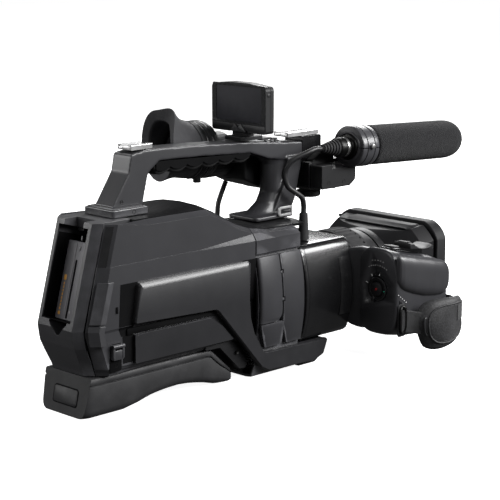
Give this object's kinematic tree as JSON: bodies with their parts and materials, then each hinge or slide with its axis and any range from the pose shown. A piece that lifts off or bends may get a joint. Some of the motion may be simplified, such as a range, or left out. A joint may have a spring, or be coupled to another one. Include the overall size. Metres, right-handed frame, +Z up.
{
  "type": "camcorder",
  "caption": "Shoulder-mount video camcorder with carrying handle, swivelling monitor, viewfinder, foam-covered microphone, rectangular lens hood and strapped hand grip.",
  "frame": {"origin": "middle of the whole object's box in plan, on the surface it stands on", "axes": "+X forward along the lens, +Y to the camcorder's left, +Z up"},
  "size_m": [0.5134, 0.2165, 0.2785],
  "materials": {
    "rear_frame": "fine satin moulding",
    "right_side_shell": "fine satin moulding",
    "left_side_shell": "fine satin moulding",
    "top_deck": "fine satin moulding",
    "jack_housing": "fine satin moulding",
    "lens_housing": "fine satin moulding",
    "shoulder_pad": "soft matt rubber",
    "side_panel": "fine satin moulding",
    "bottom_tray": "fine satin moulding",
    "front_keel": "fine satin moulding",
    "battery": "grey matt",
    "battery_terminal": "with gold contacts",
    "battery_release": "fine satin moulding",
    "av_jack_cover": "matt",
    "digital_jack_cover": "satin",
    "dc_in_cover": "matt",
    "phones_cover": "matt",
    "card_door": "fine satin moulding",
    "control_dial": "fine satin moulding",
    "handle": "fine satin moulding",
    "handle_grip": "grippy rubber",
    "handle_rear_foot": "fine satin moulding",
    "rear_shoe": "bright plated",
    "front_shoe": "bright plated",
    "handle_zoom_rocker": "fine satin moulding",
    "handle_record_button": "fine satin moulding",
    "strap_ring": "bright plated",
    "monitor_hinge": "fine satin moulding",
    "monitor_case": "satin",
    "viewfinder_base": "fine satin moulding",
    "viewfinder_barrel": "fine satin moulding",
    "dioptre_lever": "fine satin moulding",
    "eyecup": "soft rubber",
    "viewfinder_cable": "smooth sheath",
    "xlr_box": "fine satin moulding",
    "level_knob": "fine satin moulding",
    "mic_bracket": "fine satin moulding",
    "mic_clamp_base": "fine satin moulding",
    "mic_clamp_lid": "satin",
    "microphone_tube": "black anodised",
    "microphone_foam": "open-cell foam",
    "xlr_plug": "satin nickel",
    "microphone_cable": "smooth sheath",
    "microphone_cable_boot": "ribbed boot",
    "lens_barrel": "fine satin moulding",
    "zoom_ring": "ribbed rubber",
    "front_lens": "multi-coated",
    "sensor_block": "black anodised",
    "main_board": "green laminate",
    "hood": "fine satin moulding",
    "upper_shutter": "matt black",
    "lower_shutter": "matt black",
    "shutter_lever": "matt",
    "grip_casing": "fine satin moulding",
    "palm_cover": "light satin",
    "power_ring": "fine satin moulding",
    "record_button": "fine satin moulding",
    "photo_button": "fine satin moulding",
    "zoom_rocker": "fine satin moulding",
    "belt_pad": "padded woven nylon"
  },
  "bodies": {
    "camcorder_body": {"rear_frame": "rear_frame", "right_side_shell": "right_side_shell", "left_side_shell": "left_side_shell", "top_deck": "top_deck", "jack_housing": "jack_housing", "lens_housing": "lens_housing", "shoulder_pad": "shoulder_pad", "side_panel": "side_panel", "bottom_tray": "bottom_tray", "front_keel": "front_keel", "battery_terminal": "battery_terminal", "handle": "handle", "handle_grip": "handle_grip", "handle_rear_foot": "handle_rear_foot", "rear_shoe": "rear_shoe", "front_shoe": "front_shoe", "viewfinder_base": "viewfinder_base", "viewfinder_cable": "viewfinder_cable", "xlr_box": "xlr_box", "mic_bracket": "mic_bracket", "mic_clamp_base": "mic_clamp_base", "microphone_tube": "microphone_tube", "microphone_foam": "microphone_foam", "xlr_plug": "xlr_plug", "microphone_cable": "microphone_cable", "microphone_cable_boot": "microphone_cable_boot", "lens_barrel": "lens_barrel", "front_lens": "front_lens", "sensor_block": "sensor_block", "main_board": "main_board", "hood": "hood", "grip_casing": "grip_casing", "palm_cover": "palm_cover", "belt_pad": "belt_pad"},
    "battery": {"battery": "battery"},
    "battery_latch": {"battery_release": "battery_release"},
    "av_cover": {"av_jack_cover": "av_jack_cover"},
    "digital_cover": {"digital_jack_cover": "digital_jack_cover"},
    "dc_cover": {"dc_in_cover": "dc_in_cover"},
    "phone_cover": {"phones_cover": "phones_cover"},
    "card_door": {"card_door": "card_door"},
    "menu_dial": {"control_dial": "control_dial"},
    "top_zoom_rocker": {"handle_zoom_rocker": "handle_zoom_rocker"},
    "top_record_button": {"handle_record_button": "handle_record_button"},
    "strap_ring": {"strap_ring": "strap_ring"},
    "monitor_swivel": {"monitor_hinge": "monitor_hinge"},
    "monitor": {"monitor_case": "monitor_case"},
    "viewfinder": {"viewfinder_barrel": "viewfinder_barrel", "eyecup": "eyecup"},
    "dioptre_lever": {"dioptre_lever": "dioptre_lever"},
    "mic_clamp_lid": {"mic_clamp_lid": "mic_clamp_lid"},
    "level_knob": {"level_knob": "level_knob"},
    "zoom_ring": {"zoom_ring": "zoom_ring"},
    "shutter_lever": {"shutter_lever": "shutter_lever"},
    "upper_shutter": {"upper_shutter": "upper_shutter"},
    "lower_shutter": {"lower_shutter": "lower_shutter"},
    "mode_ring": {"power_ring": "power_ring"},
    "record_button": {"record_button": "record_button"},
    "photo_button": {"photo_button": "photo_button"},
    "zoom_rocker": {"zoom_rocker": "zoom_rocker"}
  },
  "joints": [
    {"name": "battery_slide", "type": "slide", "parent": "camcorder_body", "child": "battery", "axis": [0.2632, 0, 0.9647], "range_m": [0, 0.009]},
    {"name": "battery_release_press", "type": "slide", "parent": "camcorder_body", "child": "battery_latch", "axis": [1, 0, 0], "range_m": [0, 0.0006], "stiffness_N_per_m": 400},
    {"name": "av_cover_hinge", "type": "hinge", "parent": "camcorder_body", "child": "av_cover", "pos_m": [-0.1402, -0.0134, 0.0444], "axis": [1, 0, 0], "range_deg": [0, 110]},
    {"name": "digital_cover_hinge", "type": "hinge", "parent": "camcorder_body", "child": "digital_cover", "pos_m": [-0.0496, -0.0256, 0.086], "axis": [0, 0, -1], "range_deg": [0, 110]},
    {"name": "dc_cover_hinge", "type": "hinge", "parent": "camcorder_body", "child": "dc_cover", "pos_m": [-0.23393, -0.0158, 0.0865], "axis": [0.2632, 0, 0.9647], "range_deg": [0, 55]},
    {"name": "phone_cover_hinge", "type": "hinge", "parent": "camcorder_body", "child": "phone_cover", "pos_m": [-0.2337, -0.0158, 0.067], "axis": [0, 0, 1], "range_deg": [0, 70]},
    {"name": "card_door_hinge", "type": "hinge", "parent": "camcorder_body", "child": "card_door", "pos_m": [-0.1537, 0.0682, 0.11], "axis": [0, 0, 1], "range_deg": [0, 95]},
    {"name": "menu_dial_turn", "type": "hinge", "parent": "camcorder_body", "child": "menu_dial", "pos_m": [-0.0802, 0.0712, 0.112], "axis": [0, 1, 0], "continuous": true},
    {"name": "top_zoom_rock", "type": "hinge", "parent": "camcorder_body", "child": "top_zoom_rocker", "pos_m": [0.0018, 0.0262, 0.2213], "axis": [0, 1, 0], "range_deg": [-5, 5], "stiffness_Nm_per_rad": 0.2},
    {"name": "top_record_press", "type": "slide", "parent": "camcorder_body", "child": "top_record_button", "axis": [0, 0, -1], "range_m": [0, 0.0005], "stiffness_N_per_m": 500},
    {"name": "strap_ring_swing", "type": "hinge", "parent": "camcorder_body", "child": "strap_ring", "pos_m": [0.0123, 0.0047, 0.1486], "axis": [1, 0, 0], "range_deg": [0, 88]},
    {"name": "monitor_swivel_turn", "type": "hinge", "parent": "camcorder_body", "child": "monitor_swivel", "pos_m": [-0.0242, 0.0262, 0.225], "axis": [0, 0, -1], "range_deg": [0, 90]},
    {"name": "monitor_tilt", "type": "hinge", "parent": "monitor_swivel", "child": "monitor", "pos_m": [-0.0242, 0.0262, 0.2334], "axis": [0, 1, 0], "range_deg": [-30, 90]},
    {"name": "viewfinder_slide", "type": "slide", "parent": "camcorder_body", "child": "viewfinder", "axis": [-1, 0, 0], "range_m": [0, 0.012]},
    {"name": "dioptre_turn", "type": "hinge", "parent": "viewfinder", "child": "dioptre_lever", "pos_m": [-0.0402, 0.0742, 0.211], "axis": [1, 0, 0], "range_deg": [-20, 20]},
    {"name": "mic_clamp_opening", "type": "hinge", "parent": "camcorder_body", "child": "mic_clamp_lid", "pos_m": [0.1048, 0.011, 0.2088], "axis": [-0.999, 0, 0.0436], "range_deg": [0, 100]},
    {"name": "level_turn", "type": "hinge", "parent": "camcorder_body", "child": "level_knob", "pos_m": [0.0618, 0.0202, 0.1658], "axis": [0, 0, 1], "range_deg": [-140, 140]},
    {"name": "zoom_ring_turn", "type": "hinge", "parent": "camcorder_body", "child": "zoom_ring", "pos_m": [0.1038, 0.0212, 0.072], "axis": [1, 0, 0], "range_deg": [-45, 45]},
    {"name": "shutter_lever_turn", "type": "hinge", "parent": "camcorder_body", "child": "shutter_lever", "pos_m": [0.1768, 0.0892, 0.072], "axis": [0, 1, 0], "range_deg": [0, 40]},
    {"name": "upper_shutter_turn", "type": "hinge", "parent": "camcorder_body", "child": "upper_shutter", "pos_m": [0.1928, 0.0212, 0.099], "axis": [0, -1, 0], "range_deg": [0, 88.2]},
    {"name": "lower_shutter_turn", "type": "hinge", "parent": "camcorder_body", "child": "lower_shutter", "pos_m": [0.1928, 0.0212, 0.045], "axis": [0, 1, 0], "range_deg": [0, 88.2]},
    {"name": "mode_ring_turn", "type": "hinge", "parent": "camcorder_body", "child": "mode_ring", "pos_m": [0.0818, -0.0558, 0.0734], "axis": [1, 0, 0], "range_deg": [-35, 35]},
    {"name": "record_press", "type": "slide", "parent": "camcorder_body", "child": "record_button", "axis": [1, 0, 0], "range_m": [0, 0.0013], "stiffness_N_per_m": 500},
    {"name": "photo_press", "type": "slide", "parent": "camcorder_body", "child": "photo_button", "axis": [-0.2079, 0, -0.9781], "range_m": [0, 0.001], "stiffness_N_per_m": 500},
    {"name": "zoom_rock", "type": "hinge", "parent": "camcorder_body", "child": "zoom_rocker", "pos_m": [0.1298, -0.0598, 0.108], "axis": [0, 1, 0], "range_deg": [-8, 8], "stiffness_Nm_per_rad": 0.4}
  ],
  "couplings": [
    {"joint": "upper_shutter_turn", "follows": "shutter_lever_turn", "ratio": 2.2},
    {"joint": "lower_shutter_turn", "follows": "shutter_lever_turn", "ratio": 2.2}
  ]
}
